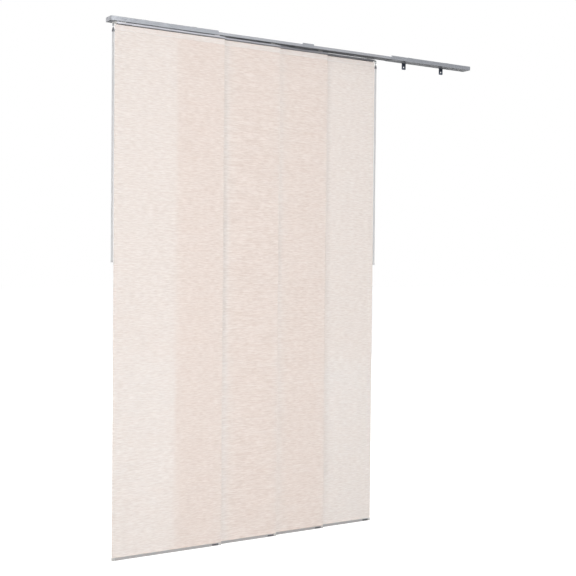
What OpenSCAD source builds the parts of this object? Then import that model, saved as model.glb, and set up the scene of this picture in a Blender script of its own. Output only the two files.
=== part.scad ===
// Panel track blind: four fabric panels on a telescoping four-channel wall track, with two pull wands.
// Millimetres. X runs along the track, +Y goes back to the wall, +Z is up.
// The origin lies on the wall, in the middle of the line of wall screw holes.

/* [Track] */
// Length of each outer rail, end cap included
outer_len = 550; // [400:1:700]
// How far the left outer rail is drawn out from the centre sleeve
left_draw = 479; // [40:1:510]
// How far the right outer rail is drawn out from the centre sleeve
right_draw = 495; // [40:1:510]
// Length of the centre sleeve
sleeve_len = 66; // [40:1:120]
// Distance between neighbouring channels
pitch = 14.6; // [13.5:0.1:18]
// Thickness of the outer rails' upright walls
wall = 1.3; // [1:0.1:1.8]
// Thickness of the deck over the channels
deck = 1.3; // [0.8:0.1:1.8]
// Thickness of the lips under the outer channels
lip_t = 1.0; // [0.7:0.1:1.5]
// Height of the bracket groove over the deck
groove_h = 4.6; // [3.8:0.1:8]
// Width of the lips over the bracket groove
groove_lip = 4.0; // [3.4:0.1:6]
// Thickness of the lips over the bracket groove
groove_lip_t = 1.1; // [0.8:0.1:1.4]
// Rounding of the outer rails' long edges
edge_r = 0.8; // [0.3:0.1:1]

/* [Inner rails] */
// Height of the inner rails
inner_h = 13.4; // [12.6:0.1:14]
// Wall thickness of the inner rails
inner_t = 1.0; // [0.7:0.1:1.2]
// Width of the lips under each inner rail
inner_lip = 1.1; // [0.8:0.1:1.5]
// Rounding of the inner rails' top edges
inner_r = 0.6; // [0.2:0.1:0.9]
// Gap between nested rails
nest_gap = 0.25; // [0.15:0.05:0.35]
// Gap left at an end cap when the track is pushed shut
shut_gap = 1.5; // [0.5:0.1:5]

/* [End caps] */
// Thickness of the end plates
cap_t = 2.5; // [1.5:0.1:5]
// Rounding of the end plates' outer edges
cap_r = 1.2; // [0.4:0.1:1.4]
// How far an end cap's seats go into the outer channels
cap_seat = 4; // [2:0.1:8]
// How far past the track's end a panel's edge would be when its glider meets a stop finger
stop_gap = 0.5; // [0.2:0.1:3]

/* [Wall brackets] */
// Width of a bracket
bracket_w = 27; // [20:0.5:40]
// Thickness of the bracket steel
bracket_t = 1.6; // [1:0.1:2]
// Distance from the track's end to the nearest bracket
bracket_inset = 162; // [60:1:220]
// Distance between the two brackets of one outer rail
bracket_pitch = 260; // [120:1:300]
// Height of the track's underside over the wall screw holes
rail_z = 19.5; // [15:0.5:30]
// How far a bracket reaches below its wall screw hole
tab_reach = 13; // [9:0.5:16]
// Radius of the tab's lower corners
tab_r = 5; // [2:0.5:8]
// Radius of the wall screw hole
wall_hole_r = 3.75; // [2.5:0.05:5]
// Radius of the hole for a ceiling screw
ceiling_hole_r = 3; // [2:0.1:4]
// Width of the hooks that hold the rail
hook_w = 14; // [8:0.5:20]
// How far the hooks reach under the rail's groove lips
hook_reach = 2.8; // [1.5:0.1:3.3]

/* [Panels] */
// Width of a panel
panel_w = 566; // [450:1:620]
// Height of a panel, from the fabric's top edge to the underside of the bottom rail
panel_drop = 2438; // [1500:1:2600]
// Left edge of each panel, from the left end of the track
panel_x = [22, 343.5, 637.5, 949]; // [0:0.5:1500]
// Thickness of the fabric
fabric_t = 0.8; // [0.4:0.1:1]
// Radius of the bead in the fabric's bottom hem
bead_r = 2.0; // [1.5:0.1:2.5]

/* [Carriers] */
// Gap between the track's underside and the carriers
carrier_gap = 3; // [1.5:0.1:6]
// Height of a carrier's top box
carrier_h = 8; // [7:0.1:12]
// Wall thickness of a carrier
carrier_t = 1.0; // [0.7:0.1:1.2]
// Inner height of the groove for the gliders' feet
carrier_groove_h = 3.4; // [2.6:0.1:4.5]
// Height of the strip that the fabric hangs on, below the top box
strip_h = 27; // [20:0.5:40]
// Thickness of that strip
strip_t = 1.4; // [0.8:0.1:1.6]
// Thickness of the touch-fastener tape
tape_t = 1.6; // [0.8:0.1:2]
// Height of the touch-fastener tape
tape_h = 24; // [15:0.5:26]
// Gap between the top box and the fabric's top edge
fabric_gap = 4; // [2:0.1:8]

/* [Gliders] */
// Length of a glider
glider_len = 30; // [20:1:50]
// Distance from a panel's edge to the middle of its nearest glider
glider_inset = 42; // [40:1:120]
// Height of a glider's head
head_h = 5; // [3:0.1:7]
// How far a glider's shoulder overlaps each outer lip
lip_hold = 0.9; // [0.6:0.05:1.1]
// How far a glider's foot overlaps each lip of the carrier's groove
foot_hold = 0.9; // [0.6:0.05:1.3]
// Height of the foot in the carrier's groove
foot_h = 2.4; // [1.5:0.1:2.5]
// Running gap over the rails' lips
run_gap = 0.15; // [0.1:0.05:0.3]
// Running gap at the sides of a glider's head and shoulder
side_gap = 0.3; // [0.2:0.05:0.35]
// Running gap at the sides of a glider's stem
stem_gap = 0.5; // [0.3:0.05:0.7]

/* [Bottom rails] */
// Height of a bottom rail
bottom_h = 13; // [12:0.1:20]
// Room round the fabric's bead in a bottom rail
bead_gap = 0.6; // [0.2:0.05:1.2]
// Gap between the fabric and the slot of a bottom rail
hem_gap = 0.4; // [0.2:0.05:0.6]
// Wall thickness of a bottom rail
bottom_t = 1.4; // [0.8:0.1:1.4]
// Rounding of a bottom rail's long edges
bottom_r = 1.6; // [0.5:0.1:2]
// Visible length of a bottom rail's end caps
bottom_cap_len = 15; // [6:0.5:30]
// How far an end cap's plug goes into the bottom rail
plug_len = 10; // [5:0.5:25]
// Rounding of the outer edges of a bottom rail's end caps
bottom_cap_r = 1.4; // [0.4:0.1:2]

/* [Wands] */
// Distance from the wand ear's hole to the bottom of the wand
wand_drop = 1080; // [600:1:1500]
// Radius of the rod
rod_r = 4.8; // [3:0.1:5.2]
// Length of an ear piece's block on the carrier's end
ear_block = 8; // [6:0.5:16]
// Length of an ear piece's tongue in the carrier's groove
ear_tongue = 10; // [4:0.5:12]
// Distance from the panel's edge to the ear's hole
ear_reach = 7.5; // [7.5:0.5:25]
// Height of the ear's hole below the carrier's top
ear_drop = 7; // [6:0.1:9]
// Height of the ear's neck
ear_neck_h = 6; // [4:0.1:6.6]
// Thickness of the ear
ear_t = 2.0; // [1.2:0.1:2.2]
// Radius of the ear's round end
ear_r = 4.2; // [3.4:0.1:4.6]
// Radius of the ear's hole
ear_hole_r = 2.0; // [1.9:0.05:2.3]
// Radius of the ring's wire
ring_wire_r = 1.0; // [0.7:0.05:1.1]
// Radius of the ring, to the middle of its wire
ring_r = 4.6; // [4.4:0.1:5]
// Radius of the hook's wire
hook_wire_r = 1.0; // [0.7:0.05:1.1]
// Radius of the hook's eye, to the middle of its wire
eye_r = 3.2; // [3:0.1:3.6]
// Length of the hook's shank between eye and connector
shank_len = 6; // [3:0.5:15]
// Solid length of the connector between the shank and the rod
connector_web = 4; // [2:0.5:6]
// Length of the connector
connector_len = 20; // [19:0.5:40]
// Radius of the connector at its top
connector_top_r = 2.4; // [1.8:0.1:3]
// Wall of the connector round the rod
connector_wall = 1.1; // [0.8:0.1:1.5]
// Depth of the rod in the connector
rod_depth = 6; // [3:0.5:8]
// Length of the tip
tip_len = 12; // [8:0.5:20]
// Wall of the tip round the rod
tip_wall = 0.8; // [0.5:0.1:1.2]

/* [Fits] */
// Gap between pieces that push together
push_gap = 0.1; // [0.05:0.01:0.15]
// Gap between a bracket and the rail it holds
clip_gap = 0.2; // [0.1:0.05:0.3]
// Gap between a wand's ring and its hook
link_gap = 0.3; // [0.2:0.05:0.4]
// Gap between a wand's ring and the bottom of the ear's hole
ring_gap = 0.45; // [0.4:0.05:0.6]

/* [Hidden] */
$fn = 64;
// Overshoot of a cut past the face it opens
over = 1;
channels = 4;

// Track, along X
track_len = 2 * outer_len + sleeve_len + left_draw + right_draw;
sleeve_x = -track_len / 2 + outer_len + left_draw;
// The inner rails just clear both end caps when the track is pushed shut
inner_len = 2 * outer_len + sleeve_len - 2 * (cap_t + cap_seat + shut_gap);
inner_x = sleeve_x + sleeve_len / 2 - inner_len / 2;

// Outer section: u runs from the front face to the back, v up from the underside
rail_depth = channels * pitch + wall;
channel_w = pitch - wall;
deck_v = lip_t + inner_h + 2 * nest_gap;
outer_h = deck_v + deck + groove_h;
rail_back = -bracket_t - clip_gap;
// A bracket's bend keeps the steel's thickness
bend_r = bracket_t;
rail_front = rail_back - rail_depth;

// Inner section
inner_w = channel_w - 2 * nest_gap;
inner_v = lip_t + nest_gap;
inner_clear_w = inner_w - 2 * inner_t;
inner_clear_h = inner_h - 2 * inner_t;
inner_slot = inner_clear_w - 2 * inner_lip;

// Gliders, heights over the track's underside
shoulder_v = lip_t + run_gap;
head_v = inner_v + inner_t + run_gap;
head_w = inner_clear_w - 2 * side_gap;
shoulder_w = inner_slot - 2 * side_gap;
outer_slot = shoulder_w - 2 * lip_hold;
lip_w = (channel_w - outer_slot) / 2;
stem_w = outer_slot - 2 * stem_gap;
// The stop fingers meet the gliders when a panel's edge is flush with the track's end
stop_len = glider_inset - glider_len / 2 - stop_gap - cap_t;

// Carriers, heights below the track's underside
groove_slot = stem_w + 2 * push_gap;
foot_w = stem_w + 2 * foot_hold;
groove_w = foot_w + 2 * push_gap;
carrier_w = groove_w + 2 * carrier_t;
groove_floor = 2 * carrier_t + carrier_groove_h;
strip_u = fabric_t / 2 + tape_t;
fabric_v = carrier_h + fabric_gap;
tape_v = carrier_h + strip_h - (strip_h - tape_h) / 2;
carrier_z = rail_z - carrier_gap;
fabric_top_z = carrier_z - fabric_v;

// Bottom rails
bottom_z = fabric_top_z - panel_drop;
bottom_d = 2 * (bead_r + bead_gap + bottom_t);
hem_slot = fabric_t + 2 * hem_gap;
bead_v = bottom_h - bottom_t - bead_r;
plug_h = bead_v - bead_r - bottom_t - push_gap - hem_gap;

// Wands, measured from the ear's hole
ear_z = carrier_z - ear_drop;
ring_seat = ear_hole_r - ring_wire_r - ring_gap;
ring_z = ear_z - ring_seat - ring_r;
eye_z = ring_z - ring_r - eye_r + ring_wire_r + hook_wire_r + link_gap;
connector_z = eye_z - eye_r - shank_len;
connector_r = rod_r + connector_wall;
shank_depth = connector_len - rod_depth - connector_web;
rod_top_z = connector_z - connector_len + rod_depth;
tip_z = ear_z - wand_drop;
tip_r = rod_r + tip_wall;

// Middle of a channel, front to back; channel 1 is at the front
function channel_y(i) = rail_front + wall / 2 + (i - 0.5) * pitch;
// Left edge of a panel
function panel_left(i) = panel_x[i - 1] - track_len / 2;
// Ear's hole: the left wand hangs from the first panel, the right one from the last
function ear_x(side) = side < 0 ? panel_left(1) - ear_reach : panel_left(channels) + panel_w + ear_reach;
function ear_y(side) = channel_y(side < 0 ? 1 : channels);

// Colours
aluminium = "#b4bac2";
inner_aluminium = "#aeb4bd";
bracket_paint = "#323c4b";
light_grey = "#d0d0d2";
tape_grey = "#6e6c68";
fabric_cream = "#f1e9e0";
nylon = "#e4e4e0";
bar_grey = "#9a9c9f";
wire = "#b9bcc0";
dark_grey = "#6a6c70";

// A section drawn in Y and Z, extruded along X from x0 to x1
module along_x(x0, x1) {
    translate([x0, 0, 0])
        rotate([90, 0, 90])
            linear_extrude(x1 - x0)
                children();
}

// Its children, or their mirror image on the right-hand side
module on_side(side) {
    if (side < 0)
        children();
    else
        mirror([1, 0, 0]) children();
}

// What rounding takes off a corner at the origin, with the solid towards +u and +v
module corner_waste(r) {
    difference() {
        translate([-over, -over]) square(r + over);
        translate([r, r]) circle(r);
    }
}

// Rectangle from the origin to [w, h] with its four corners rounded
module rounded_rect(w, h, r) {
    difference() {
        square([w, h]);
        for (right = [0, 1], top = [0, 1])
            translate([right * w, top * h])
                mirror([right, 0])
                    mirror([0, top])
                        corner_waste(r);
    }
}

// Its children, a block from the origin to [length, w, h], with the edges of the face at X = 0 rounded
module rounded_end(length, w, h, r) {
    intersection() {
        children();
        translate([0, 0, -over])
            linear_extrude(h + 2 * over)
                end_outline(length, w, r);
        translate([0, w + over, 0])
            rotate([90, 0, 0])
                linear_extrude(w + 2 * over)
                    end_outline(length, h, r);
    }
}

// Outline of such a block seen from one side, its length past the far end
module end_outline(length, w, r) {
    difference() {
        square([length + over, w]);
        for (far = [0, 1])
            translate([0, far * w])
                mirror([0, far])
                    corner_waste(r);
    }
}

// Slot shape with round ends, centred, its length along X
module stadium(length, width) {
    square([length - width, width], center = true);
    for (side = [-1, 1])
        translate([side * (length - width) / 2, 0])
            circle(width / 2);
}

// Section of the outer rails: four channels under a deck, and a groove for the brackets on top
module outer_section() {
    intersection() {
        rounded_rect(rail_depth, outer_h, edge_r);
        union() {
            for (k = [0 : channels])
                translate([k * pitch, 0])
                    square([wall, k % channels == 0 ? outer_h : deck_v + deck]);
            translate([0, deck_v])
                square([rail_depth, deck]);
            for (i = [1 : channels], near = [0, 1])
                translate([(i - 1 + near) * pitch + wall * (1 - near) - lip_w * near, 0])
                    square([lip_w, lip_t]);
            for (back = [0, 1])
                translate([back * (rail_depth - wall - groove_lip), outer_h - groove_lip_t])
                    square([wall + groove_lip, groove_lip_t]);
        }
    }
}

// Section of an inner rail, centred on its channel
module inner_section() {
    difference() {
        translate([-inner_w / 2, 0])
            square([inner_w, inner_h]);
        translate([-inner_clear_w / 2, inner_t])
            square([inner_clear_w, inner_clear_h]);
        translate([-inner_slot / 2, -over])
            square([inner_slot, inner_t + 2 * over]);
        for (back = [0, 1])
            translate([(back - 0.5) * inner_w, inner_h])
                mirror([back, 0])
                    mirror([0, 1])
                        corner_waste(inner_r);
    }
}

// Outer rail from the end cap's plate to the rail's open end
module outer_rail(side) {
    color(aluminium)
        on_side(side)
            translate([0, rail_front, rail_z])
                along_x(-track_len / 2 + cap_t, -track_len / 2 + outer_len)
                    outer_section();
}

module inner_rail(i) {
    color(inner_aluminium)
        translate([0, channel_y(i), rail_z + inner_v])
            along_x(inner_x, inner_x + inner_len)
                inner_section();
}

module centre_sleeve() {
    color(aluminium)
        translate([0, rail_front, rail_z])
            along_x(sleeve_x, sleeve_x + sleeve_len)
                outer_section();
}

// End plate with a seat in each channel, and a stop finger that an inner rail can pass over
module end_cap(side) {
    seat_x = -track_len / 2 + cap_t;
    seat_w = channel_w - 2 * push_gap;
    seat_h = deck_v - lip_t - 2 * push_gap;
    color(light_grey)
        on_side(side) {
            translate([-track_len / 2, rail_front, rail_z])
                rounded_end(cap_t, rail_depth, outer_h, cap_r)
                    along_x(0, cap_t)
                        rounded_rect(rail_depth, outer_h, edge_r);
            for (i = [1 : channels])
                translate([0, channel_y(i), rail_z]) {
                    translate([seat_x - cap_t / 2, -seat_w / 2, lip_t + push_gap])
                        cube([cap_seat + cap_t / 2, seat_w, seat_h]);
                    translate([seat_x, -head_w / 2, inner_v + inner_t + side_gap])
                        cube([stop_len, head_w, inner_clear_h - 2 * side_gap]);
                }
        }
}

// Section of a bracket's hook, for a groove lip whose inner edge is at the origin and lies towards -u
module hook_section() {
    toe_v = -groove_lip_t - clip_gap - bracket_t;
    translate([clip_gap, toe_v])
        square([bracket_t, -toe_v + clip_gap + bracket_t]);
    translate([clip_gap - hook_reach, toe_v])
        square([hook_reach + bracket_t, bracket_t]);
}

// Outline of a bracket's back leg, in X and Z, centred on its screw hole
module leg_outline(top) {
    difference() {
        translate([-bracket_w / 2, -tab_reach])
            square([bracket_w, top + tab_reach]);
        for (right = [0, 1])
            translate([(right - 0.5) * bracket_w, -tab_reach])
                mirror([right, 0])
                    corner_waste(tab_r);
    }
}

// Angle bracket: its top leg hooks into the rail's groove, its back leg has the wall screw hole
module wall_bracket(side, k) {
    x = -track_len / 2 + bracket_inset + k * bracket_pitch;
    top_v = outer_h + clip_gap;
    front_u = wall + groove_lip + clip_gap;
    color(bracket_paint)
        on_side(side)
            translate([x, 0, 0])
                difference() {
                    union() {
                        rotate([90, 0, 0])
                            linear_extrude(bracket_t)
                                leg_outline(rail_z + top_v + bracket_t);
                        translate([0, rail_front, rail_z]) {
                            translate([-bracket_w / 2, front_u, top_v])
                                cube([bracket_w, -rail_front - front_u, bracket_t]);
                            along_x(-hook_w / 2, hook_w / 2) {
                                translate([wall + groove_lip, outer_h])
                                    hook_section();
                                translate([rail_depth - wall - groove_lip, outer_h])
                                    mirror([1, 0])
                                        hook_section();
                            }
                        }
                    }
                    translate([0, 0, rail_z + top_v + bracket_t])
                        along_x(-bracket_w / 2 - over, bracket_w / 2 + over)
                            rotate(180)
                                corner_waste(bend_r);
                    rotate([90, 0, 0])
                        cylinder(r = wall_hole_r, h = 2 * (bracket_t + over), center = true);
                    translate([0, (rail_front + rail_back) / 2, rail_z + top_v - over])
                        cylinder(r = ceiling_hole_r, h = bracket_t + 2 * over);
                }
}

// Section of a carrier, centred on its channel, its top at v = 0
module carrier_section() {
    difference() {
        union() {
            translate([-carrier_w / 2, -carrier_h])
                square([carrier_w, carrier_h]);
            translate([strip_u, -carrier_h - strip_h])
                square([strip_t, carrier_h + strip_h]);
        }
        translate([-groove_slot / 2, -carrier_t - over])
            square([groove_slot, carrier_t + 2 * over]);
        translate([-groove_w / 2, -carrier_t - carrier_groove_h])
            square([groove_w, carrier_groove_h]);
        translate([-groove_w / 2, -carrier_h - over])
            square([groove_w / 2 + strip_u, carrier_h + over - groove_floor]);
        translate([strip_u + strip_t, -carrier_h - over])
            square([carrier_w, carrier_h + over - groove_floor]);
    }
}

// Carrier of a panel; an ear piece takes the place of its end on the first and last panels
module carrier(i) {
    left_cut = i == 1 ? ear_block : 0;
    right_cut = i == channels ? ear_block : 0;
    color(light_grey)
        translate([panel_left(i), channel_y(i), carrier_z])
            along_x(left_cut, panel_w - right_cut)
                carrier_section();
}

// Glider: the head runs on the inner rails' lips and the shoulder on the outer rails' lips,
// so that a panel keeps its height from one to the other. The foot locks into the carrier.
module glider(i, side) {
    x = panel_left(i) + (side < 0 ? glider_inset : panel_w - glider_inset);
    foot_top = -carrier_gap - carrier_t;
    color(nylon)
        translate([x, channel_y(i), rail_z]) {
            translate([0, 0, head_v])
                linear_extrude(head_h)
                    stadium(glider_len, head_w);
            translate([0, 0, shoulder_v])
                linear_extrude(head_v - shoulder_v + head_h / 2)
                    stadium(glider_len - head_w + shoulder_w, shoulder_w);
            translate([0, 0, foot_top - foot_h / 2])
                linear_extrude(shoulder_v - foot_top + foot_h)
                    stadium(glider_len - head_w + stem_w, stem_w);
            translate([0, 0, foot_top - foot_h])
                linear_extrude(foot_h)
                    stadium(glider_len - head_w + foot_w, foot_w);
        }
}

// Touch-fastener tape between the carrier's strip and the fabric
module tape(i) {
    left_cut = i == 1 ? ear_block : 0;
    right_cut = i == channels ? ear_block : 0;
    color(tape_grey)
        translate([panel_left(i) + left_cut, channel_y(i) + fabric_t / 2, carrier_z - tape_v])
            cube([panel_w - left_cut - right_cut, tape_t, tape_h]);
}

// Fabric sheet, with the bead that its bottom hem forms inside the bottom rail
module fabric(i) {
    sheet_h = fabric_top_z - bottom_z - bead_v;
    color(fabric_cream)
        translate([panel_left(i), channel_y(i), bottom_z + bead_v]) {
            along_x(0, panel_w)
                translate([-fabric_t / 2, 0])
                    square([fabric_t, sheet_h]);
            along_x(bottom_cap_len + push_gap, panel_w - bottom_cap_len - push_gap)
                circle(bead_r);
        }
}

// Outline of a bottom rail, centred on its channel
module bottom_outline() {
    translate([-bottom_d / 2, 0])
        rounded_rect(bottom_d, bottom_h, bottom_r);
}

// Hollow bar with a slot on top that the fabric's hem hangs in
module bottom_rail(i) {
    color(bar_grey)
        translate([panel_left(i), channel_y(i), bottom_z])
            along_x(bottom_cap_len, panel_w - bottom_cap_len)
                difference() {
                    bottom_outline();
                    translate([-bottom_d / 2 + bottom_t, bottom_t])
                        square([bottom_d - 2 * bottom_t, bottom_h - 2 * bottom_t]);
                    translate([-hem_slot / 2, bottom_h / 2])
                        square([hem_slot, bottom_h]);
                }
}

// End cap of a bottom rail: a block slotted for the fabric, with a plug under the bead
module bottom_cap(i, side) {
    plug_w = bottom_d - 2 * bottom_t - 2 * push_gap;
    color(light_grey)
        translate([panel_left(i) + panel_w / 2, channel_y(i), bottom_z])
            on_side(side)
                translate([-panel_w / 2, 0, 0]) {
                    translate([0, -bottom_d / 2, 0])
                        rounded_end(bottom_cap_len, bottom_d, bottom_h, bottom_cap_r)
                            translate([0, bottom_d / 2, 0])
                                along_x(0, bottom_cap_len)
                                    difference() {
                                        bottom_outline();
                                        translate([-hem_slot / 2, bead_v - hem_gap])
                                            square([hem_slot, bottom_h]);
                                    }
                    translate([bottom_cap_len - over, -plug_w / 2, bottom_t + push_gap])
                        cube([over + plug_len, plug_w, plug_h]);
                }
}

// Ear piece on a carrier's end: block, tongue in the carrier's groove, and the ear with its hole
module wand_ear(side) {
    tongue_w = groove_w - 2 * push_gap;
    tongue_h = carrier_groove_h - 2 * push_gap;
    color(dark_grey)
        translate([ear_x(side), ear_y(side), carrier_z])
            on_side(side)
                difference() {
                    union() {
                        translate([ear_reach, -carrier_w / 2, -carrier_h])
                            cube([ear_block, carrier_w, carrier_h]);
                        translate([ear_reach, -tongue_w / 2, -groove_floor + carrier_t + push_gap])
                            cube([ear_block + ear_tongue, tongue_w, tongue_h]);
                        translate([0, ear_t / 2, -ear_drop])
                            rotate([90, 0, 0])
                                linear_extrude(ear_t) {
                                    circle(ear_r);
                                    translate([0, -ear_neck_h / 2])
                                        square([ear_reach + ear_block / 2, ear_neck_h]);
                                }
                    }
                    translate([0, 0, -ear_drop])
                        rotate([90, 0, 0])
                            cylinder(r = ear_hole_r, h = ear_t + 2 * over, center = true);
                }
}

// Wire ring that hangs in the ear's hole
module wand_ring(side) {
    color(wire)
        translate([ear_x(side), ear_y(side), ring_z])
            rotate([0, 90, 0])
                rotate_extrude()
                    translate([ring_r, 0])
                        circle(ring_wire_r);
}

// Wire hook: an eye on the ring, and a shank down into the connector
module wand_hook(side) {
    color(wire)
        translate([ear_x(side), ear_y(side), eye_z]) {
            rotate([90, 0, 0])
                rotate_extrude()
                    translate([eye_r, 0])
                        circle(hook_wire_r);
            translate([0, 0, -eye_r - shank_len - shank_depth])
                cylinder(r = hook_wire_r, h = shank_len + shank_depth);
        }
}

// Tapered connector between the hook's shank and the rod
module wand_connector(side) {
    skirt_h = rod_depth + connector_wall;
    color(dark_grey)
        translate([ear_x(side), ear_y(side), connector_z - connector_len])
            difference() {
                union() {
                    cylinder(r = connector_r, h = skirt_h);
                    translate([0, 0, skirt_h])
                        cylinder(r1 = connector_r, r2 = connector_top_r, h = connector_len - skirt_h);
                }
                translate([0, 0, -over])
                    cylinder(r = rod_r + push_gap, h = rod_depth + over + push_gap);
                translate([0, 0, connector_len - shank_depth - push_gap])
                    cylinder(r = hook_wire_r + push_gap, h = shank_depth + over);
            }
}

module wand_rod(side) {
    rod_bottom = tip_z + tip_wall + push_gap;
    color(light_grey)
        translate([ear_x(side), ear_y(side), rod_bottom])
            cylinder(r = rod_r, h = rod_top_z - rod_bottom);
}

// Round-ended tip on the rod
module wand_tip(side) {
    color(dark_grey)
        translate([ear_x(side), ear_y(side), tip_z])
            rotate_extrude()
                difference() {
                    intersection() {
                        translate([-tip_r, 0])
                            rounded_rect(2 * tip_r, tip_len, 2 * tip_wall);
                        square([tip_r, tip_len]);
                    }
                    translate([-over, tip_wall])
                        square([over + rod_r + push_gap, tip_len]);
                }
}

outer_rail(-1);  // left_outer_rail
outer_rail(1);  // right_outer_rail
for (i = [1 : channels])
    inner_rail(i);
centre_sleeve();
end_cap(-1);  // left_end_cap
end_cap(1);  // right_end_cap
// Brackets 1 and 2 hold the left outer rail, 3 and 4 the right one, counted from the left
for (k = [0, 1]) {
    wall_bracket(-1, k);
    wall_bracket(1, k);
}
for (i = [1 : channels]) {
    carrier(i);
    glider(i, -1);
    glider(i, 1);
    tape(i);
    fabric(i);
    bottom_rail(i);
    bottom_cap(i, -1);
    bottom_cap(i, 1);
}
for (side = [-1, 1]) {
    wand = side < 0 ? "left_wand_" : "right_wand_";
    wand_ear(side);
    wand_ring(side);
    wand_hook(side);
    wand_connector(side);
    wand_rod(side);
    wand_tip(side);
}
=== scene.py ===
"""Panel track blind: four cloth panels on a telescoping track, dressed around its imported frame.

Lengths are in metres. X runs along the track, +Y goes back to the wall and +Z is up.
"""

from __future__ import annotations

import logging
import math
from dataclasses import dataclass, field
from enum import Enum
from typing import Any

import bmesh
import bpy
import numpy as np
from mathutils import Matrix, Vector

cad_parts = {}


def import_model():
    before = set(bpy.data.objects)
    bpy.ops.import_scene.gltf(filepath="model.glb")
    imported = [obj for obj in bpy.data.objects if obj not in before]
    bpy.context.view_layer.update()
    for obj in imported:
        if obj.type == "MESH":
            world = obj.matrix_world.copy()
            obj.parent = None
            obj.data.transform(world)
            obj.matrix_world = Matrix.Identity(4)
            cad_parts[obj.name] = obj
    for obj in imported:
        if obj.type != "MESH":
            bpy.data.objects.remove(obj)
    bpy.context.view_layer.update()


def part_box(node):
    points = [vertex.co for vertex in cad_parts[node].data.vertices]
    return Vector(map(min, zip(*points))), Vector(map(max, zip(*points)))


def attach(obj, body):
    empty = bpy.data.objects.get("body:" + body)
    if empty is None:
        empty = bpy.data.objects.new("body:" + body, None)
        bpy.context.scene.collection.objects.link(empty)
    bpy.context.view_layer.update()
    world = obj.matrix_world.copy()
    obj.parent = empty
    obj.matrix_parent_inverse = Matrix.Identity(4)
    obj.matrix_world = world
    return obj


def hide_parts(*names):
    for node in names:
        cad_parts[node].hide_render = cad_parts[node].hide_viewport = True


LOG = logging.getLogger("panel_track_blind")
MM = 0.001
PANELS = (1, 2, 3, 4)
MERGE_GAP = 1e-7
THIN_EDGE = 1e-8
# Heights above the whole blind, for cloth without a doubled hem
NO_FOLD = (10.0, 11.0)
WHITE = (1.0, 1.0, 1.0, 1.0)
# Middle of the panels' front, which most lamps are aimed at
FRONT = (-0.3, 0.0, -1.1)

Array = np.ndarray
# Points and faces
Shape = tuple[np.ndarray, np.ndarray]
Socket = bpy.types.NodeSocket
# A number, colour or socket for a node's input, or a node's setting
Value = Any


class Side(Enum):
    """An end of the blind or of a panel, by its word in the node names."""

    LEFT = "left"
    RIGHT = "right"


class Grain(Enum):
    """Direction that a bar was drawn in, as pattern density in lines per metre along X, Y and Z."""

    ALONG_TRACK = (1.6, 900.0, 900.0)
    UPRIGHT = (700.0, 700.0, 1.2)


def linear(red: int, green: int, blue: int) -> tuple[float, float, float, float]:
    """Turns a display colour of 0 to 255 into linear light.

    Args:
        red: Red channel.
        green: Green channel.
        blue: Blue channel.

    Returns:
        Red, green and blue from 0 to 1, and an alpha of 1.
    """
    share = np.array([red, green, blue]) / 255
    light = np.where(share <= 0.04045, share / 12.92, ((share + 0.055) / 1.055) ** 2.4)
    return (*map(float, light), 1.0)


# Surfaces


def quads(rows: int, cols: int, first: int = 0) -> Array:
    """Faces of a grid of points that runs down in rows and to the right in columns.

    Args:
        rows: Rows of points.
        cols: Points in a row.
        first: Number of the grid's first point.

    Returns:
        Four point numbers for each face, front side towards -Y for a grid in X and Z.
    """
    number = first + np.arange(rows * cols).reshape(rows, cols)
    around = (number[:-1, :-1], number[1:, :-1], number[1:, 1:], number[:-1, 1:])
    return np.stack([n.ravel() for n in around], axis=1)


def rim(rows: int, cols: int, first: int = 0) -> Array:
    """Point numbers once round a grid's edge, starting at its first point.

    Args:
        rows: Rows of points.
        cols: Points in a row.
        first: Number of the grid's first point.

    Returns:
        The numbers: along the first row, down the last column, back, and up.
    """
    number = first + np.arange(rows * cols).reshape(rows, cols)
    return np.concatenate([number[0, :-1], number[:-1, -1], number[-1, :0:-1], number[:0:-1, 0]])


def closed_sheet(front: Array, back: Array) -> Shape:
    """Closes two like grids into one thin solid: both faces, and a strip of faces round the edge.

    Args:
        front: Points of the front face, rows by columns by 3.
        back: Points of the back face, the same shape.

    Returns:
        Points and faces.
    """
    rows, cols = front.shape[:2]
    points = np.concatenate([front.reshape(-1, 3), back.reshape(-1, 3)])
    behind = rows * cols
    near, far = rim(rows, cols), rim(rows, cols, behind)
    edge = np.stack([near, np.roll(near, -1), np.roll(far, -1), far], axis=1)
    faces = [quads(rows, cols), quads(rows, cols, behind)[:, ::-1], edge]
    return points, np.concatenate(faces)


def ringed(rings: Array) -> Shape:
    """Joins a row of closed rings into a skin. A ring drawn together to a point closes an end.

    Args:
        rings: Points, rings by points round a ring by 3.

    Returns:
        Points and faces.
    """
    rows, around = rings.shape[:2]
    number = np.arange(rows * around).reshape(rows, around)
    after = np.roll(number, -1, axis=1)
    faces = np.stack([number[:-1], after[:-1], after[1:], number[1:]], axis=-1)
    return rings.reshape(-1, 3), faces.reshape(-1, 4)


def smooth_step(low: float, high: float, at: Array) -> Array:
    """Rises from 0 at low to 1 at high, with level ends: 3 t squared less 2 t cubed.

    Args:
        low: Where it starts to rise.
        high: Where it is 1.
        at: Places to work it out at.

    Returns:
        The height at each place.
    """
    t = np.clip((at - low) / (high - low), 0, 1)
    return t * t * (3 - 2 * t)


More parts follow.
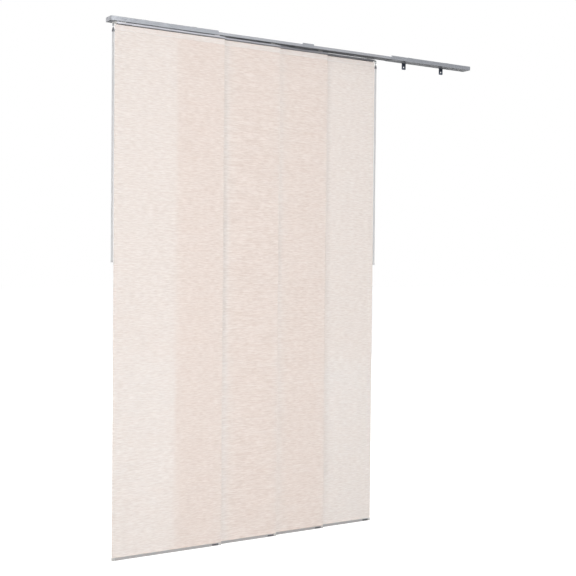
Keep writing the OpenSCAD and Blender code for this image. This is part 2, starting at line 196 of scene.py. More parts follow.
def make_piece(
    name: str, points: Array, faces: Array, material: bpy.types.Material
) -> bpy.types.Object:
    """Makes a smooth piece of points and faces, its doubles merged and its faces turned outwards.

    Args:
        name: Name of the piece.
        points: Points in metres.
        faces: Four point numbers for each face.
        material: The piece's finish.

    Returns:
        The piece, at the origin.
    """
    mesh = bpy.data.meshes.new(name)
    mesh.from_pydata(points.tolist(), [], faces.tolist())
    work = bmesh.new()
    work.from_mesh(mesh)
    bmesh.ops.remove_doubles(work, verts=work.verts, dist=MERGE_GAP)
    bmesh.ops.dissolve_degenerate(work, edges=work.edges, dist=THIN_EDGE)
    bmesh.ops.recalc_face_normals(work, faces=work.faces)
    work.to_mesh(mesh)
    work.free()
    mesh.polygons.foreach_set("use_smooth", np.ones(len(mesh.polygons), bool))
    mesh.materials.append(material)
    piece = bpy.data.objects.new(name, mesh)
    bpy.context.scene.collection.objects.link(piece)
    return piece


# Effects that several finishes share


class Graph:
    """A node tree that is filled node by node."""

    def __init__(self, tree: bpy.types.NodeTree) -> None:
        """Starts from an empty tree."""
        self.tree = tree
        tree.nodes.clear()

    def add(
        self, kind: str, inputs: dict[Value, Value] | None = None, **settings: Value
    ) -> bpy.types.Node:
        """Adds a node.

        Args:
            kind: Blender's name for the node.
            inputs: A number, colour or socket for each input, by its name or place.
            settings: The node's own settings.

        Returns:
            The node.
        """
        node = self.tree.nodes.new(kind)
        for name, value in settings.items():
            setattr(node, name, value)
        for key, value in (inputs or {}).items():
            if isinstance(value, Socket):
                self.tree.links.new(value, node.inputs[key])
            else:
                node.inputs[key].default_value = value
        return node

    def math(self, operation: str, first: Value, second: Value = 0.0) -> Socket:
        """Adds a sum of two values and returns its result."""
        return self.add("ShaderNodeMath", {0: first, 1: second}, operation=operation).outputs[0]

    def spread(
        self, value: Value, low: float, high: float, to_low: float = 0.0, to_high: float = 1.0
    ) -> Socket:
        """Adds a change of range, from low and high to other ends, and returns its result."""
        limits = {"From Min": low, "From Max": high, "To Min": to_low, "To Max": to_high}
        return self.add("ShaderNodeMapRange", {"Value": value, **limits}).outputs["Result"]

    def noise(self, place: Value, scale: float, detail: float = 2.0, rough: float = 0.5) -> Socket:
        """Adds soft noise at a place and returns its value."""
        inputs = {"Vector": place, "Scale": scale, "Detail": detail, "Roughness": rough}
        return self.add("ShaderNodeTexNoise", inputs).outputs[0]

    def dense(self, place: Value, density: Value) -> Socket:
        """Adds a stretch of a place by a density along each axis and returns the new place."""
        inputs = {0: place, 1: density}
        return self.add("ShaderNodeVectorMath", inputs, operation="MULTIPLY").outputs[0]

    def mix(self, share: Value, first: Value, second: Value, blend: str = "MIX") -> Socket:
        """Adds a mix of two colours and returns the colour."""
        inputs = {0: share, 6: first, 7: second}
        return self.add("ShaderNodeMix", inputs, data_type="RGBA", blend_type=blend).outputs[2]

    def bump(self, height: Value, distance: float) -> Socket:
        """Adds a bump of a height that is 1 at distance, and returns the normal."""
        inputs = {"Height": height, "Distance": distance}
        return self.add("ShaderNodeBump", inputs).outputs["Normal"]


class Effect:
    """A pattern that finishes share: a node group, made once and placed with its own values."""

    name = "effect"
    takes: dict[str, tuple[str, Value]] = {}
    gives: tuple[str, ...] = ()

    def fill(self, graph: Graph, inputs: bpy.types.Node, place: Socket) -> dict[str, Value]:
        """Makes the group's nodes and returns each output's socket; each effect has its own."""
        raise NotImplementedError

    def group(self) -> bpy.types.NodeTree:
        """Finds the effect's node group, or makes it.

        Returns:
            The group.
        """
        if self.name in bpy.data.node_groups:
            return bpy.data.node_groups[self.name]
        tree = bpy.data.node_groups.new(self.name, "ShaderNodeTree")
        for name, (kind, value) in self.takes.items():
            socket = tree.interface.new_socket(name=name, in_out="INPUT", socket_type=kind)
            socket.default_value = value
        for name in self.gives:
            tree.interface.new_socket(name=name, in_out="OUTPUT", socket_type="NodeSocketFloat")
        graph = Graph(tree)
        inputs = graph.add("NodeGroupInput")
        place = graph.add("ShaderNodeTexCoord").outputs["Object"]
        graph.add("NodeGroupOutput", self.fill(graph, inputs, place))
        return tree

    def put(self, graph: Graph, values: dict[str, Value] | None = None) -> bpy.types.Node:
        """Places the effect in a material with its own values and returns its node."""
        return graph.add("ShaderNodeGroup", values, node_tree=self.group())


class DrawnGrain(Effect):
    """Long fine lines that drawing through a die leaves on a bar."""

    name = "drawn_grain"
    takes = {"Density": ("NodeSocketVector", Grain.ALONG_TRACK.value)}
    gives = ("Tone", "Height")
    broad_scale = 0.22
    broad_share = 0.6
    fine_share = 0.4
    tone_range = (0.3, 0.7)

    def fill(self, graph: Graph, inputs: bpy.types.Node, place: Socket) -> dict[str, Value]:
        """Stretched noise: broad bands for the tone, and fine lines for the height.

        Args:
            graph: The group's tree.
            inputs: The group's input node.
            place: Place on the surface.

        Returns:
            Sockets of Tone and Height.
        """
        lines = graph.dense(place, inputs.outputs["Density"])
        fine = graph.noise(lines, 1.0, detail=3.0, rough=0.65)
        broad = graph.noise(lines, self.broad_scale)
        bands = graph.math("MULTIPLY", broad, self.broad_share)
        tone = graph.math("ADD", bands, graph.math("MULTIPLY", fine, self.fine_share))
        return {"Tone": graph.spread(tone, *self.tone_range), "Height": fine}


class MouldedSkin(Effect):
    """The fine pebbled skin of a moulded or painted piece, with a slow change of tone."""

    name = "moulded_skin"
    grain = 1500.0
    takes = {"Grain": ("NodeSocketFloat", grain)}
    gives = ("Tone", "Height")
    slow_scale = 55.0
    tone_range = (0.3, 0.7)

    def fill(self, graph: Graph, inputs: bpy.types.Node, place: Socket) -> dict[str, Value]:
        """Fine noise for the height, coarse noise for the tone.

        Args:
            graph: The group's tree.
            inputs: The group's input node.
            place: Place on the surface.

        Returns:
            Sockets of Tone and Height.
        """
        fine = graph.noise(place, inputs.outputs["Grain"], detail=3.0, rough=0.6)
        slow = graph.noise(place, self.slow_scale, detail=3.0)
        return {"Tone": graph.spread(slow, *self.tone_range), "Height": fine}


class HandMarks(Effect):
    """Faint patches where hands and cloths have dulled or polished a surface."""

    name = "hand_marks"
    takes = {"Size": ("NodeSocketFloat", 14.0)}
    gives = ("Mask",)
    patch_range = (0.42, 0.62)

    def fill(self, graph: Graph, inputs: bpy.types.Node, place: Socket) -> dict[str, Value]:
        """Broken noise, cut to soft-edged patches.

        Args:
            graph: The group's tree.
            inputs: The group's input node.
            place: Place on the surface.

        Returns:
            Socket of Mask.
        """
        patches = graph.noise(place, inputs.outputs["Size"], detail=5.0, rough=0.62)
        return {"Mask": graph.spread(patches, *self.patch_range)}


class SlubWeave(Effect):
    """A plain weave whose level yarns swell into slubs."""

    name = "slub_weave"
    # Pattern density per metre along X, Y and Z
    yarns = (18.0, 90.0, 900.0)
    slubs = (60.0, 90.0, 190.0)
    threads = (2400.0, 0.0, 2800.0)
    takes = {
        "Yarns": ("NodeSocketVector", yarns),
        "Slubs": ("NodeSocketVector", slubs),
        "Threads": ("NodeSocketVector", threads),
    }
    gives = ("Tone", "Slub", "Height")
    swell_range = (0.28, 0.72)
    tone_range = (0.15, 0.85)
    swell_share = 0.5
    streak_share = 0.5
    yarn_wander = 5.0
    thread_height = 0.18

    def fill(self, graph: Graph, inputs: bpy.types.Node, place: Socket) -> dict[str, Value]:
        """Yarn streaks and slubs are stretched noise; threads are a sine across times a sine up.

        Args:
            graph: The group's tree.
            inputs: The group's input node.
            place: Place on the surface.

        Returns:
            Sockets of Tone, Slub and Height.
        """
        streak = graph.noise(graph.dense(place, inputs.outputs["Yarns"]), 1.0, rough=0.6)
        slub = graph.noise(graph.dense(place, inputs.outputs["Slubs"]), 1.0, detail=2.5, rough=0.55)
        wavy = graph.dense(place, inputs.outputs["Threads"])
        apart = graph.add("ShaderNodeSeparateXYZ", {0: wavy})
        across = graph.math("SINE", apart.outputs[0])
        wander = graph.math("MULTIPLY", streak, self.yarn_wander)
        up = graph.math("SINE", graph.math("ADD", apart.outputs[2], wander))
        threads = graph.math("MULTIPLY", across, up)
        swell = graph.spread(slub, *self.swell_range)
        thick = graph.math("MULTIPLY", swell, self.swell_share)
        tone = graph.math("ADD", thick, graph.math("MULTIPLY", streak, self.streak_share))
        height = graph.math("ADD", tone, graph.math("MULTIPLY", threads, self.thread_height))
        return {"Tone": graph.spread(tone, *self.tone_range), "Slub": swell, "Height": height}


GRAIN, SKIN, MARKS, WEAVE = DrawnGrain(), MouldedSkin(), HandMarks(), SlubWeave()


# Finishes


@dataclass(frozen=True)
class Finish:
    """A finish of the blind, made into a material once."""

    name: str
    pale: tuple[int, int, int]
    dark: tuple[int, int, int]

    def material(self) -> bpy.types.Material:
        """Finds the finish's material, or makes it.

        Returns:
            The material.
        """
        if self.name in bpy.data.materials:
            return bpy.data.materials[self.name]
        made = bpy.data.materials.new(self.name)
        made.use_nodes = True
        made.diffuse_color = linear(*self.pale)
        graph = Graph(made.node_tree)
        graph.add("ShaderNodeOutputMaterial", {"Surface": self.surface(graph)})
        return made

    def surface(self, graph: Graph) -> Socket:
        """Makes the finish's shader; each kind of finish has its own."""
        raise NotImplementedError


@dataclass(frozen=True)
class DrawnMetal(Finish):
    """A drawn aluminium bar, satin anodised."""

    grain: Grain = Grain.ALONG_TRACK
    metallic: float = 0.35
    shine: tuple[float, float] = (0.34, 0.5)
    relief: float = 0.03 * MM

    def surface(self, graph: Graph) -> Socket:
        """Two tones along the drawing lines, dulled in patches, with fine lines in the relief.

        Args:
            graph: The material's tree.

        Returns:
            The shader's socket.
        """
        grain = GRAIN.put(graph, {"Density": self.grain.value})
        marks = MARKS.put(graph)
        inputs = {
            "Base Color": graph.mix(grain.outputs["Tone"], linear(*self.dark), linear(*self.pale)),
            "Metallic": self.metallic,
            "Roughness": graph.spread(marks.outputs["Mask"], 0.0, 1.0, *self.shine),
            "Normal": graph.bump(grain.outputs["Height"], self.relief),
        }
        return graph.add("ShaderNodeBsdfPrincipled", inputs).outputs[0]


@dataclass(frozen=True)
class Moulding(Finish):
    """A moulded plastic piece, or sheet steel under paint."""

    grain: float = MouldedSkin.grain
    shine: tuple[float, float] = (0.42, 0.58)
    relief: float = 0.04 * MM
    metallic: float = 0.0
    mark_size: float = 60.0

    def surface(self, graph: Graph) -> Socket:
        """A pebbled skin of two close tones, polished in patches.

        Args:
            graph: The material's tree.

        Returns:
            The shader's socket.
        """
        skin = SKIN.put(graph, {"Grain": self.grain})
        marks = MARKS.put(graph, {"Size": self.mark_size})
        inputs = {
            "Base Color": graph.mix(skin.outputs["Tone"], linear(*self.dark), linear(*self.pale)),
            "Metallic": self.metallic,
            "Roughness": graph.spread(marks.outputs["Mask"], 0.0, 1.0, *self.shine),
            "Normal": graph.bump(skin.outputs["Height"], self.relief),
        }
        return graph.add("ShaderNodeBsdfPrincipled", inputs).outputs[0]


@dataclass(frozen=True)
class Weave(Finish):
    """Woven cloth that lets some light through between its yarns, and is doubled above its fold."""

    yarns: tuple[float, float, float] = SlubWeave.yarns
    slubs: tuple[float, float, float] = SlubWeave.slubs
    threads: tuple[float, float, float] = SlubWeave.threads
    cover: tuple[float, float] = (1.0, 1.0)
    clear: tuple[float, float, float] = (1.0, 1.0, 1.0)
    fold: tuple[float, float] = NO_FOLD
    fold_cover: float = 0.9
    # Painted light: a cool tint for the doubled hem's yarns, standing in for the light that shows
    # through the single cloth elsewhere
    fold_painted_backlight_tint: tuple[float, float, float] = (0.887, 0.958, 1.0)
    relief: float = 0.2 * MM
    roughness: float = 0.9
    gloss: float = 0.2

    def surface(self, graph: Graph) -> Socket:
        """Yarn tones and relief from the weave; thin places cover less, and the doubled hem more.

        Args:
            graph: The material's tree.

        Returns:
            The shader's socket.
        """
        values = {"Yarns": self.yarns, "Slubs": self.slubs, "Threads": self.threads}
        weave = WEAVE.put(graph, values)
        place = graph.add("ShaderNodeTexCoord").outputs["Object"]
        height = graph.add("ShaderNodeSeparateXYZ", {0: place}).outputs[2]
        folded = graph.spread(height, *self.fold)
        yarns = graph.mix(weave.outputs["Tone"], linear(*self.dark), linear(*self.pale))
        inputs = {
            # The doubled hem's yarn colour times a painted tint of the light that shows through the
            # single cloth
            "Base Color": graph.mix(folded, yarns, (*self.fold_painted_backlight_tint, 1.0), "MULTIPLY"),
            "Roughness": self.roughness,
            "Specular IOR Level": self.gloss,
            "Normal": graph.bump(weave.outputs["Height"], self.relief),
        }
        yarn = graph.add("ShaderNodeBsdfPrincipled", inputs).outputs[0]
        if min(self.cover) == 1:
            return yarn
        single = graph.spread(weave.outputs["Slub"], 0.0, 1.0, *self.cover)
        cover = graph.math("MAXIMUM", single, graph.math("MULTIPLY", folded, self.fold_cover))
        between = graph.add("ShaderNodeBsdfTransparent", {"Color": (*self.clear, 1.0)}).outputs[0]
        return graph.add("ShaderNodeMixShader", {0: cover, 1: between, 2: yarn}).outputs[0]


RAIL = DrawnMetal("rail_anodised", (144, 147, 153), (133, 136, 142), metallic=0.2)
INNER = DrawnMetal("inner_rail_anodised", (156, 158, 163), (143, 145, 151), metallic=0.2)
CARRIER = DrawnMetal("carrier_anodised", (164, 164, 170), (152, 152, 159), metallic=0.2)
BAR = DrawnMetal("bottom_bar_anodised", (160, 158, 157), (147, 145, 144), metallic=0.2)
ROD = DrawnMetal(
    "wand_rod_grey",
    (193, 193, 193),
    (182, 182, 183),
    Grain.UPRIGHT,
    metallic=0.0,
    shine=(0.5, 0.62),
)
WIRE = DrawnMetal(
    "plated_wire",
    (84, 85, 88),
    (66, 67, 71),
    Grain.UPRIGHT,
    metallic=0.5,
    shine=(0.22, 0.34),
)
CAP = Moulding(
    "track_cap_grey",
    (134, 136, 142),
    (126, 128, 135),
    shine=(0.55, 0.68),
    relief=0.02 * MM,
)
BRACKET = Moulding(
    "bracket_paint",
    (58, 68, 84),
    (48, 57, 72),
    grain=900.0,
    shine=(0.35, 0.5),
    relief=0.06 * MM,
)
BAR_CAP = Moulding("bar_cap_grey", (184, 183, 180), (174, 173, 170))
DARK = Moulding("dark_moulding", (98, 99, 103), (86, 87, 91))
NYLON = Moulding("glider_nylon", (230, 230, 226), (220, 220, 215))
TAG = Moulding(
    "bar_tag_dark",
    (72, 71, 74),
    (60, 59, 62),
    grain=2200.0,
    shine=(0.5, 0.65),
    relief=0.03 * MM,
)
CLOTH = Weave(
    "slub_cloth",
    (252, 238, 230),
    (239, 215, 203),
    yarns=(5.5, 90.0, 250.0),
    slubs=(34.0, 90.0, 250.0),
    cover=(0.72, 0.80),
    clear=(0.5, 0.84, 0.96),
    fold=(-22.0 * MM, -20.0 * MM),
)
HEM = Weave("hem_cloth", (243, 233, 225), (233, 221, 211))
TAPE = Weave(
    "fastener_tape",
    (124, 121, 117),
    (104, 102, 99),
    yarns=(260.0, 90.0, 700.0),
    slubs=(500.0, 90.0, 500.0),
)
THREAD = Weave(
    "hem_thread",
    (250, 244, 238),
    (240, 232, 224),
    yarns=(400.0, 400.0, 400.0),
    slubs=(900.0, 900.0, 900.0),
)

RAIL_FINISHES = {
    "left_outer_rail": RAIL,
    "right_outer_rail": RAIL,
    "centre_sleeve": RAIL,
    "left_end_cap": CAP,
    "right_end_cap": CAP,
    **{f"inner_rail_{i}": INNER for i in PANELS},
    **{f"wall_bracket_{i}": BRACKET for i in PANELS},
}
WAND_FINISHES = {
    "ear": BAR_CAP,
    "ring": WIRE,
    "hook": WIRE,
    "connector": DARK,
    "rod": ROD,
    "tip": ROD,
}


def dress_node(node: str, finish: Finish) -> None:
    """Gives a node of the frame its finish.

    Args:
        node: The node's name.
        finish: Its finish.
    """
    mesh = bpy.data.objects[node].data
    mesh.materials.clear()
    mesh.materials.append(finish.material())
    LOG.info("%s dressed in %s", node, finish.name)


# Sub-assemblies


@dataclass
class Track:
    """The rails, sleeve, end caps and wall brackets, all as they come from the frame."""

    finishes: dict[str, Finish] = field(default_factory=lambda: dict(RAIL_FINISHES))

    def dress(self) -> None:
        """Gives every piece of the track its finish."""
        for node, finish in self.finishes.items():
            dress_node(node, finish)


@dataclass
class Panel:
    """One sliding panel: carrier, gliders, tape, cloth, stitching, bottom bar and its tag."""

    index: int
    thickness: float = 0.8 * MM
    row_step: float = 2.5 * MM
    column_step: float = 17.5 * MM
    slub_relief: float = 0.09 * MM
    slub_weights: tuple[float, ...] = (0.2, 0.5, 0.7, 0.5, 0.2)
    slub_blend: float = 0.5
    seed: int = 40
    sway: float = 0.7 * MM
    # Each wave: its share of the sway, turns across and down, and shift from panel to panel
    waves: tuple[tuple[float, float, float, float], ...] = (
        (1.0, 1.3, 0.8, 0.23),
        (0.5, 2.9, -1.7, 0.41),
    )
    # Shares of the drop in which the sway sets in below the top, and dies out above the bar
    sway_top: tuple[float, float] = (0.02, 0.2)
    sway_foot: tuple[float, float] = (0.0, 0.12)
    held_share: float = 0.004
    hem_height: float = 25.0 * MM
    hem_rise: float = 0.3 * MM
    hem_edge: tuple[float, float] = (-1.0 * MM, 2.0 * MM)
    hem_fade: float = 12.0 * MM
    selvedge: float = 5.0 * MM
    selvedge_rise: float = 0.12 * MM
    selvedge_flat: float = 0.35
    selvedge_columns: tuple[float, ...] = (0.0, 0.4, 1.0)
    bead_gap: float = 0.2 * MM
    bead_points: int = 24
    bead_end_rings: int = 5
    bead_rings: tuple[float, ...] = (0.25, 0.5, 0.75)
    tape_rows: int = 33
    tape_columns: int = 140
    tape_ribs: int = 12
    tape_rib: float = 0.06 * MM
    tape_front_share: float = 0.5
    tape_set_back: float = 0.08 * MM
    stitch_length: float = 3.2 * MM
    stitch_pitch: float = 4.0 * MM
    stitch_radius: float = 0.26 * MM
    stitch_rows: tuple[float, float] = (3.0 * MM, 21.0 * MM)
    stitch_rings: int = 6
    stitch_points: int = 8
    tag_length: float = 34.0 * MM
    tag_height: float = 7.0 * MM
    tag_thickness: float = 0.15 * MM
    tag_corner: float = 1.2 * MM
    tag_inset: float = 1.0 * MM
    tag_soft: float = 0.05 * MM
    # Share of the thickness where the soft edge starts, and of the outline for a ring on the front
    tag_edge: float = 0.6
    tag_inner: float = 0.6
    tag_points: int = 48

    @property
    def body(self) -> str:
        """The body that the panel's pieces ride on."""
        return f"panel_{self.index}"

    def node(self, piece: str) -> str:
        """The name of one of the panel's nodes."""
        return f"{self.body}_{piece}"

    @property
    def bead_radius(self) -> float:
        """The hem bead's radius, half the fabric's depth in the frame."""
        low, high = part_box(self.node("fabric"))
        return (high.y - low.y) / 2

    def add(self, name: str, shape: Shape, finish: Finish, slot: str) -> bpy.types.Object:
        """Makes a piece that rides on the panel.

        Args:
            name: Name of the piece after the panel's own.
            shape: Points and faces.
            finish: Its finish.
            slot: The frame's material slot that the piece stands for; not used.

        Returns:
            The piece.
        """
        piece = make_piece(self.node(name), *shape, finish.material())
        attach(piece, self.body)
        LOG.info("%s: %d faces", piece.name, len(piece.data.polygons))
        return piece

    def slub_field(self, rows: int, cols: int) -> Array:
        """Random swellings of the level yarns: noise, smoothed along the rows and a little down.

        Args:
            rows: Rows of points.
            cols: Points in a row.

        Returns:
            Heights with a mean of 0 and a spread of 1.
        """
        draw = np.random.default_rng(self.seed + self.index)
        rough = draw.standard_normal((rows + 2, cols + len(self.slub_weights) - 1))
        level = sum(w * rough[:, k : k + cols] for k, w in enumerate(self.slub_weights))
        soft = self.slub_blend * level[:-2] + level[1:-1] + self.slub_blend * level[2:]
        return (soft - soft.mean()) / soft.std()

    def cloth_shape(self) -> Shape:
        """The cloth: a thin closed sheet with slubs, a doubled top hem, firm edges and some sway.

        Its middle lies at the box's middle plus the sway times slow sine waves, which die out at
        the top and at the bottom bar. Each face lies half the thickness from it, plus the slubs'
        swelling and the edges' rise, and on the front the hem's rise.

        Returns:
            Points and faces.
        """
        low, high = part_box(self.node("fabric"))
        foot = low.z + self.bead_radius
        rows = round((high.z - foot) / self.row_step) + 1
        cols = round((high.x - low.x) / self.column_step) + 1
        z = np.linspace(high.z, foot, rows)[:, None]
        inset = np.array(self.selvedge_columns) * self.selvedge
        inner = np.linspace(low.x, high.x, cols)[1:-1]
        x = np.concatenate([low.x + inset, inner, high.x - inset[::-1]])[None]
        drop = (high.z - z) / (high.z - foot)
        across = (x - low.x) / (high.x - low.x)
        hang = smooth_step(*self.sway_top, drop) * smooth_step(*self.sway_foot, 1 - drop)
        wave = sum(
            share * np.sin(2 * math.pi * (level * across + down * drop + shift * self.index))
            for share, level, down, shift in self.waves
        )
        middle = (low.y + high.y) / 2 + self.sway * hang * wave
        edge = np.minimum(x - low.x, high.x - x)
        level_to = self.selvedge_flat * self.selvedge
        firm = self.selvedge_rise * (1 - smooth_step(level_to, self.selvedge, edge))
        held = smooth_step(0.0, self.held_share, 1 - drop)
        swell = self.slub_relief * self.slub_field(rows, x.shape[1]) * held + firm * held
        fold_start, fold_end = (self.hem_height + step for step in self.hem_edge)
        hem = self.hem_rise * (1 - smooth_step(fold_start, fold_end, high.z - z))
        flat = smooth_step(self.hem_height, self.hem_height + self.hem_fade, high.z - z)
        half = self.thickness / 2
        x, z = np.broadcast_arrays(x, z)
        front = np.stack([x, middle - half - swell - hem, z], axis=-1)
        back = np.stack([x, middle + half + swell * flat, z], axis=-1)
        return closed_sheet(front, back)

    def hem_cord_shape(self) -> Shape:
        """The rolled hem inside the bottom bar: rings along X of one radius r, with round ends.

        At s from an end, up to r, a ring's size is the root of r squared less (r - s) squared.

        Returns:
            Points and faces.
        """
        low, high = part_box(self.node("fabric"))
        bar_low, bar_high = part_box(self.node("bottom_rail"))
        radius = self.bead_radius
        middle = Vector((0, (low.y + high.y) / 2, low.z + radius))
        span = bar_high.x - bar_low.x - 2 * self.bead_gap
        ends = np.linspace(0, 1, self.bead_end_rings) ** 2 * radius
        s = np.concatenate([ends, np.array(self.bead_rings) * span, span - ends[::-1]])
        inward = np.minimum(s, span - s).clip(0, radius)
        size = np.sqrt(radius**2 - (radius - inward) ** 2)
        turn = np.linspace(0, 2 * math.pi, self.bead_points, endpoint=False)
        rings = np.stack(
            [
                np.broadcast_to((bar_low.x + self.bead_gap + s)[:, None], (len(s), len(turn))),
                middle.y + size[:, None] * np.cos(turn),
                middle.z + size[:, None] * np.sin(turn),
            ],
            axis=-1,
        )
        return ringed(rings)

    def tape_shape(self) -> Shape:
        """The touch-fastener tape: a thin sheet whose faces carry the low ribs of its weave.

        Each face lies a little inside the tape's box, by a set-back less a cosine of the height.

        Returns:
            Points and faces.
        """
        low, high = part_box(self.node("tape"))
        z = np.linspace(high.z, low.z, self.tape_rows)[:, None]
        x = np.linspace(low.x, high.x, self.tape_columns)[None]
        phase = np.linspace(0, 2 * math.pi * self.tape_ribs, self.tape_rows)[:, None]
        rib = self.tape_rib * np.cos(phase) - self.tape_set_back
        x, z = np.broadcast_arrays(x, z)
        front_y = np.broadcast_to(low.y - rib * self.tape_front_share, x.shape)
        back_y = np.broadcast_to(high.y + rib, x.shape)
        return closed_sheet(np.stack([x, front_y, z], axis=-1), np.stack([x, back_y, z], axis=-1))

    def stitch_shape(self) -> Shape:
        """Two rows of stitches through the top hem: small ellipsoids, each half sunk in the cloth.

        An ellipsoid is a unit sphere with its poles on X, stretched to the stitch's half sizes.

        Returns:
            Points and faces.
        """
        low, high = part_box(self.node("fabric"))
        count = int((high.x - low.x - 2 * self.selvedge) / self.stitch_pitch)
        x = low.x + self.selvedge + (np.arange(count) + 0.5) * self.stitch_pitch
        face = (low.y + high.y) / 2 - self.thickness / 2 - self.hem_rise
        centre_x, centre_z = np.meshgrid(x, high.z - np.array(self.stitch_rows))
        centre = np.stack([centre_x, np.full_like(centre_x, face), centre_z], axis=-1)
        pole = np.linspace(0, math.pi, self.stitch_rings)[:, None]
        turn = np.linspace(0, 2 * math.pi, self.stitch_points, endpoint=False)[None]
        sides = (np.cos(pole), np.sin(pole) * np.cos(turn), np.sin(pole) * np.sin(turn))
        unit = np.stack(np.broadcast_arrays(*sides), axis=-1)
        half = np.array([self.stitch_length / 2, self.stitch_radius, self.stitch_radius])
        stitches = centre.reshape(-1, 1, 1, 3) + unit * half
        _, faces = ringed(unit)
        first = np.arange(len(stitches))[:, None, None] * unit.shape[0] * unit.shape[1]
        return stitches.reshape(-1, 3), (faces[None] + first).reshape(-1, 4)

    def tag_shape(self) -> Shape:
        """The plain tag by the bottom bar's right end: a thin plate with round corners.

        Its outline is a circle of the corner's radius, its quarters moved apart to the corners.
        Rings of that outline run from the middle of the back round a soft edge to the front's.

        Returns:
            Points and faces.
        """
        low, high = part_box(self.node("bottom_rail"))
        half_step = math.pi / self.tag_points
        turn = np.linspace(0, 2 * math.pi, self.tag_points, endpoint=False) + half_step
        reach = np.array([self.tag_length / 2, self.tag_height / 2]) - self.tag_corner
        ways = np.stack([np.cos(turn), np.sin(turn)], axis=-1)
        outline = np.sign(ways) * reach + self.tag_corner * ways
        middle_x = high.x - self.tag_length / 2 - self.tag_inset
        middle_z = (low.z + high.z) / 2
        soft = 1 - self.tag_soft / self.tag_corner
        reach_out = np.array([0.0, 1.0, 1.0, soft, self.tag_inner, 0.0])[:, None]
        lift = np.array([0.0, 0.0, self.tag_edge, 1.0, 1.0, 1.0])[:, None]
        x = middle_x + reach_out * outline[:, 0]
        y = np.broadcast_to(low.y - lift * self.tag_thickness, x.shape)
        return ringed(np.stack([x, y, middle_z + reach_out * outline[:, 1]], axis=-1))

    def build(self) -> None:
        hem = self.add("rolled_hem", self.hem_cord_shape(), HEM, "fabric")
        stitches = self.add("hem_stitching", self.stitch_shape(), THREAD, "fabric")
        cloth = self.add("cloth", self.cloth_shape(), CLOTH, "fabric")
        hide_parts(self.node("fabric"))
        tape = self.add("fastener_tape", self.tape_shape(), TAPE, "tape")
        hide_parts(self.node("tape"))
        self.add("bar_tag", self.tag_shape(), TAG, "dark_plastic")

    def dress(self) -> None:
        """Gives the panel's rigid pieces their finishes."""
        dress_node(self.node("carrier"), CARRIER)
        dress_node(self.node("bottom_rail"), BAR)
        for side in Side:
            dress_node(self.node(f"{side.value}_glider"), NYLON)
            dress_node(self.node(f"bottom_{side.value}_cap"), BAR_CAP)


@dataclass
class Wand:
    """One pull wand, with the ear piece that it hangs from."""

    side: Side
    finishes: dict[str, Finish] = field(default_factory=lambda: dict(WAND_FINISHES))

    def dress(self) -> None:
        """Gives the wand's pieces their finishes."""
        for piece, finish in self.finishes.items():
            dress_node(f"{self.side.value}_wand_{piece}", finish)


# Studio


@dataclass
class PhotoCamera:
    """The camera, placed as the photographer's was."""

    focal_px: float = 1057.05
    frame_px: float = 576.0
    sensor: float = 36.0
    place: tuple[float, float, float] = (-2.9295, -4.5338, -1.0820)
    yaw: float = 0.5615
    pitch: float = -0.0204
    roll: float = 0.0092
    far_limit: float = 200.0

    def build(self) -> None:
        """Makes the camera and sets it as the scene's."""
        ahead = Vector(
            (
                math.sin(self.yaw) * math.cos(self.pitch),
                math.cos(self.yaw) * math.cos(self.pitch),
                math.sin(self.pitch),
            )
        )
        level = Vector((math.cos(self.yaw), -math.sin(self.yaw), 0))
        upright = level.cross(ahead)
        right = math.cos(self.roll) * level + math.sin(self.roll) * upright
        up = -math.sin(self.roll) * level + math.cos(self.roll) * upright
        lens = bpy.data.cameras.new("photo_camera")
        lens.sensor_fit = "AUTO"
        lens.sensor_width = self.sensor
        lens.lens = self.focal_px * self.sensor / self.frame_px
        lens.clip_end = self.far_limit
        camera = bpy.data.objects.new("photo_camera", lens)
        bpy.context.scene.collection.objects.link(camera)
        turned = Matrix((right, up, -ahead)).transposed().to_4x4()
        camera.matrix_world = Matrix.Translation(self.place) @ turned
        bpy.context.scene.camera = camera


@dataclass
class Lamp:
    """A soft lamp of a width and a height, aimed at a point."""

    name: str
    place: tuple[float, float, float]
    aim: tuple[float, float, float]
    size: tuple[float, float]
    power: float
    spread: float = 180.0

    def build(self) -> None:
        """Makes the lamp."""
        light = bpy.data.lights.new(self.name, "AREA")
        light.shape = "RECTANGLE"
        light.size, light.size_y = self.size
        light.energy = self.power
        light.spread = math.radians(self.spread)
        lamp = bpy.data.objects.new(self.name, light)
        bpy.context.scene.collection.objects.link(lamp)
        lamp.location = self.place
        lamp.visible_camera = False
        way = Vector(self.aim) - Vector(self.place)
        lamp.rotation_euler = way.to_track_quat("-Z", "Y").to_euler()


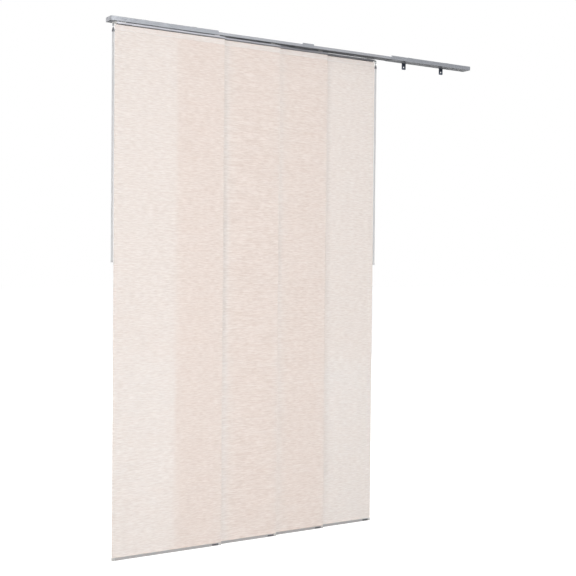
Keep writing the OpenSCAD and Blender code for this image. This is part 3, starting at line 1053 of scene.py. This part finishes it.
@dataclass
class Studio:
    """White surroundings: a pale floor, an even sky and soft lamps."""

    floor_z: float = -2.60
    floor_reach: float = 60.0
    floor_points: int = 9
    floor_share: float = 0.34
    floor_glow: float = 0.862
    floor_grey: float = 0.17
    sky: float = 0.45
    lamps: tuple[Lamp, ...] = (
        Lamp("key_lamp", (-5.4, -12.0, 3.6), FRONT, size=(3.5, 3.0), power=482.0),
        Lamp("fill_lamp", (2.2, -12.0, 3.8), FRONT, size=(3.5, 3.0), power=612.0),
        Lamp("side_lamp", (-2.4, -0.9, -1.15), (-1.0, 0.0, -1.15), size=(0.3, 2.6), power=4.5),
        Lamp("left_lamp", (-7.0, -3.6, -0.8), FRONT, size=(1.0, 3.0), power=105.0),
        Lamp(
            "head_lamp",
            (-0.6, -4.5, 0.6),
            (-0.3, 0.0, -0.1),
            size=(1.5, 1.0),
            power=1.15,
            spread=40.0,
        ),
        Lamp(
            "foot_lamp",
            (-0.6, -4.5, -2.2),
            (-0.3, 0.0, -2.2),
            size=(1.5, 1.5),
            power=6.5,
            spread=60.0,
        ),
        Lamp("back_left_lamp", (-7.0, 9.0, 2.4), (-0.3, 0.0, -1.2), size=(4.0, 4.0), power=680.0),
        Lamp("back_right_lamp", (6.4, 9.0, 2.4), (-0.3, 0.0, -1.2), size=(4.0, 4.0), power=680.0),
    )

    @staticmethod
    def seen(graph: Graph) -> Socket:
        """A value that is 1 for rays that show the surroundings: camera, gloss and glass rays.

        Args:
            graph: The tree of the floor or the sky.

        Returns:
            The value's socket.
        """
        path = graph.add("ShaderNodeLightPath")
        gloss = graph.math("MAXIMUM", path.outputs["Is Camera Ray"], path.outputs["Is Glossy Ray"])
        return graph.math("MAXIMUM", gloss, path.outputs["Is Transmission Ray"])

    def floor_material(self) -> bpy.types.Material:
        """The floor's finish: pale, with a glow where it is seen, and clear from below.

        Returns:
            The material.
        """
        made = bpy.data.materials.new("studio_floor")
        made.use_nodes = True
        graph = Graph(made.node_tree)
        seen = self.seen(graph)
        grey = (self.floor_grey, self.floor_grey, self.floor_grey, 1.0)
        share = (self.floor_share, self.floor_share, self.floor_share, 1.0)
        lit = graph.add("ShaderNodeBsdfDiffuse", {"Color": graph.mix(seen, grey, share)}).outputs[0]
        strength = graph.math("MULTIPLY", seen, self.floor_glow)
        glow = graph.add("ShaderNodeEmission", {"Strength": strength}).outputs[0]
        above = graph.add("ShaderNodeAddShader", {0: lit, 1: glow}).outputs[0]
        below = graph.add("ShaderNodeBsdfTransparent").outputs[0]
        side = graph.add("ShaderNodeNewGeometry").outputs["Backfacing"]
        mixed = graph.add("ShaderNodeMixShader", {0: side, 1: above, 2: below}).outputs[0]
        graph.add("ShaderNodeOutputMaterial", {"Surface": mixed})
        return made

    def build(self) -> None:
        """Makes the floor, the sky and the lamps."""
        reach = np.linspace(-self.floor_reach, self.floor_reach, self.floor_points)
        x, y = np.meshgrid(reach, reach)
        points = np.stack([x, -y, np.full_like(x, self.floor_z)], axis=-1).reshape(-1, 3)
        faces = quads(self.floor_points, self.floor_points)
        floor = make_piece("studio_floor", points, faces, self.floor_material())
        if floor.data.polygons[0].normal.z < 0:
            floor.data.flip_normals()
        world = bpy.data.worlds.new("studio_sky")
        bpy.context.scene.world = world
        world.use_nodes = True
        graph = Graph(world.node_tree)
        lit = graph.add("ShaderNodeBackground", {"Color": WHITE, "Strength": self.sky}).outputs[0]
        white = graph.add("ShaderNodeBackground", {"Color": WHITE, "Strength": 1.0}).outputs[0]
        mixed = graph.add("ShaderNodeMixShader", {0: self.seen(graph), 1: lit, 2: white}).outputs[0]
        graph.add("ShaderNodeOutputWorld", {"Surface": mixed})
        for lamp in self.lamps:
            lamp.build()
        bpy.context.scene.view_settings.view_transform = "Standard"


def main() -> None:
    """Loads the frame, sets up the camera and studio, and builds and dresses each sub-assembly."""
    logging.basicConfig(level=logging.INFO, format="%(name)s: %(message)s")
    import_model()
    PhotoCamera().build()
    Studio().build()
    Track().dress()
    for index in PANELS:
        panel = Panel(index)
        panel.build()
        panel.dress()
    for side in Side:
        Wand(side).dress()


if __name__ == "__main__":
    main()
